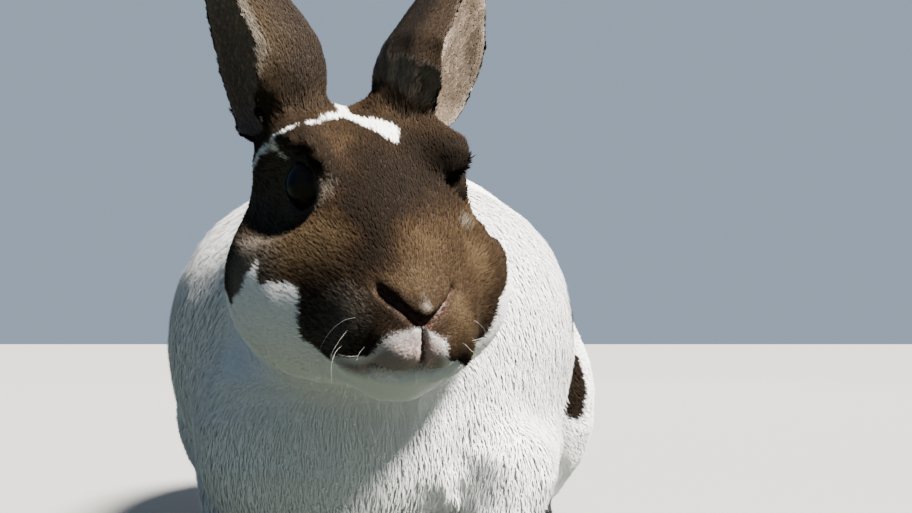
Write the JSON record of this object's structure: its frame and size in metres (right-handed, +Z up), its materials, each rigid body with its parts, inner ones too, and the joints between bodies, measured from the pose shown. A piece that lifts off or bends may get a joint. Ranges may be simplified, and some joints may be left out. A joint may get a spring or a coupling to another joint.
{
  "type": "life-size rabbit model (Rex doe)",
  "caption": "Still life-size model of a crouching Rex rabbit doe with a white coat, brown face and ears, a full dewlap and her head turned a little to her left.",
  "frame": {"origin": "on the floor, under the centre of the rabbit's bounding box", "axes": "+X towards her left side, +Y from her nose back to her tail, +Z up. She faces along -Y, with her head turned a little towards +X."},
  "size_m": [0.2158, 0.3716, 0.2518],
  "materials": {
    "white_fur": "matte",
    "brown_fur": "matte",
    "eye": "gloss",
    "claw": "satin"
  },
  "bodies": {
    "root": {"head": "brown_fur", "ear_left": "brown_fur", "ear_right": "brown_fur", "eye_left": "eye", "eye_right": "eye", "neck": "white_fur", "dewlap": "white_fur", "trunk": "white_fur", "tail": "white_fur", "foreleg_left": "white_fur", "foreleg_right": "white_fur", "forefoot_left": "white_fur", "forefoot_right": "white_fur", "thigh_left": "white_fur", "thigh_right": "white_fur", "hind_foot_left": "white_fur", "hind_foot_right": "white_fur", "claw_fore_left_1": "claw", "claw_fore_left_2": "claw", "claw_fore_left_3": "claw", "claw_fore_left_4": "claw", "claw_fore_right_1": "claw", "claw_fore_right_2": "claw", "claw_fore_right_3": "claw", "claw_fore_right_4": "claw", "claw_hind_left_1": "claw", "claw_hind_left_2": "claw", "claw_hind_left_3": "claw", "claw_hind_left_4": "claw", "claw_hind_right_1": "claw", "claw_hind_right_2": "claw", "claw_hind_right_3": "claw", "claw_hind_right_4": "claw"}
  },
  "joints": []
}
